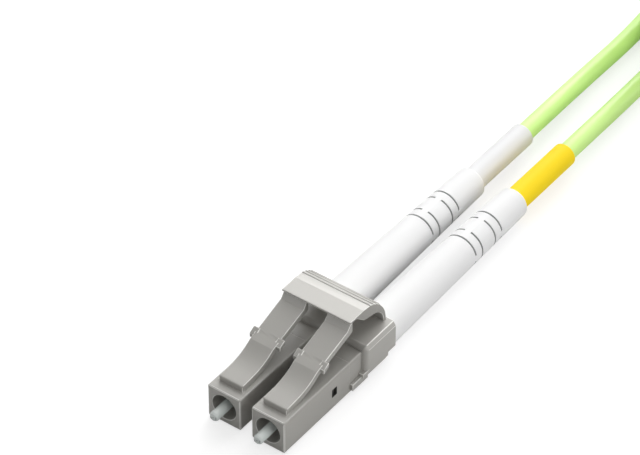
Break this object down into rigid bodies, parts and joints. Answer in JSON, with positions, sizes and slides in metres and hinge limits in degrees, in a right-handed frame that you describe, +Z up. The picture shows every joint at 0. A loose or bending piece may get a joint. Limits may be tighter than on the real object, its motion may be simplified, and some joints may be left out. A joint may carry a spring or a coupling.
{
  "type": "duplex lc fibre connector",
  "caption": "Fibre connector with latched housings, sprung ferrules, a clip with a release trigger, tapered slotted boots and simplex cords put away in a tied hank.",
  "frame": {"origin": "on the surface the connector lies on, under the middle of its box without the cords: midway between the channels, and midway from the ferrule tips to the marker sleeves' ends", "axes": "-Y is the mating direction, +Y runs along the boots towards the cords, +X is the right-hand channel seen from the cords, +Z is up, latch side up"},
  "size_m": [0.0224, 0.1584, 0.0176],
  "materials": {
    "grey_housing": "satin moulded plastic",
    "grey_clip": "satin moulded plastic",
    "ceramic": "polished zirconia ceramic",
    "flange_metal": "nickel plated brass",
    "tube_steel": "drawn stainless steel",
    "spring_steel": "bright spring wire",
    "crimp_metal": "crimped soft metal",
    "white_boot": "smooth white elastomer",
    "white_sleeve": "smooth white sleeve",
    "yellow_sleeve": "smooth yellow sleeve",
    "fibre_buffer": "tight buffer coating",
    "lime_jacket": "soft gloss cord jacket",
    "tie_fabric": "woven hook and loop strap"
  },
  "bodies": {
    "connector": {"housing_left": "grey_housing", "housing_right": "grey_housing", "spring_left": "spring_steel", "spring_right": "spring_steel", "rear_body_left": "grey_housing", "rear_body_right": "grey_housing", "crimp_sleeve_left": "crimp_metal", "crimp_sleeve_right": "crimp_metal", "boot_left": "white_boot", "boot_right": "white_boot", "buffered_fibre_left": "fibre_buffer", "buffered_fibre_right": "fibre_buffer", "cord_left": "lime_jacket", "cord_right": "lime_jacket", "hank_left": "lime_jacket", "hank_right": "lime_jacket", "marker_sleeve_left": "white_sleeve", "marker_sleeve_right": "yellow_sleeve", "duplex_clip": "grey_clip", "hank_tie": "tie_fabric"},
    "ferrule_assembly_left": {"ferrule_left": "ceramic", "flange_left": "flange_metal", "inner_tube_left": "tube_steel"},
    "latch_arm_left": {"latch_left": "grey_housing"},
    "ferrule_assembly_right": {"ferrule_right": "ceramic", "flange_right": "flange_metal", "inner_tube_right": "tube_steel"},
    "latch_arm_right": {"latch_right": "grey_housing"},
    "release_trigger": {"trigger": "grey_clip"}
  },
  "joints": [
    {"name": "ferrule_left_slide", "type": "slide", "parent": "connector", "child": "ferrule_assembly_left", "axis": [0, 1, 0], "range_m": [0, 0.0009], "stiffness_N_per_m": 1500, "deforming": ["spring_left"]},
    {"name": "ferrule_right_slide", "type": "slide", "parent": "connector", "child": "ferrule_assembly_right", "axis": [0, 1, 0], "range_m": [0, 0.0009], "stiffness_N_per_m": 1500, "deforming": ["spring_right"]},
    {"name": "trigger_press", "type": "hinge", "parent": "connector", "child": "release_trigger", "pos_m": [0, -0.00901, 0.00575], "axis": [1, 0, 0], "range_deg": [0, 12], "stiffness_Nm_per_rad": 0.05},
    {"name": "latch_left_bend", "type": "hinge", "parent": "connector", "child": "latch_arm_left", "pos_m": [-0.00313, -0.02558, 0.00549], "axis": [-1, 0, 0], "range_deg": [0, 8.1], "stiffness_Nm_per_rad": 0.0004},
    {"name": "latch_right_bend", "type": "hinge", "parent": "connector", "child": "latch_arm_right", "pos_m": [0.00313, -0.02558, 0.00549], "axis": [-1, 0, 0], "range_deg": [0, 8.1], "stiffness_Nm_per_rad": 0.0004}
  ],
  "couplings": [
    {"joint": "latch_left_bend", "follows": "trigger_press", "ratio": 0.6667},
    {"joint": "latch_right_bend", "follows": "trigger_press", "ratio": 0.6667}
  ]
}
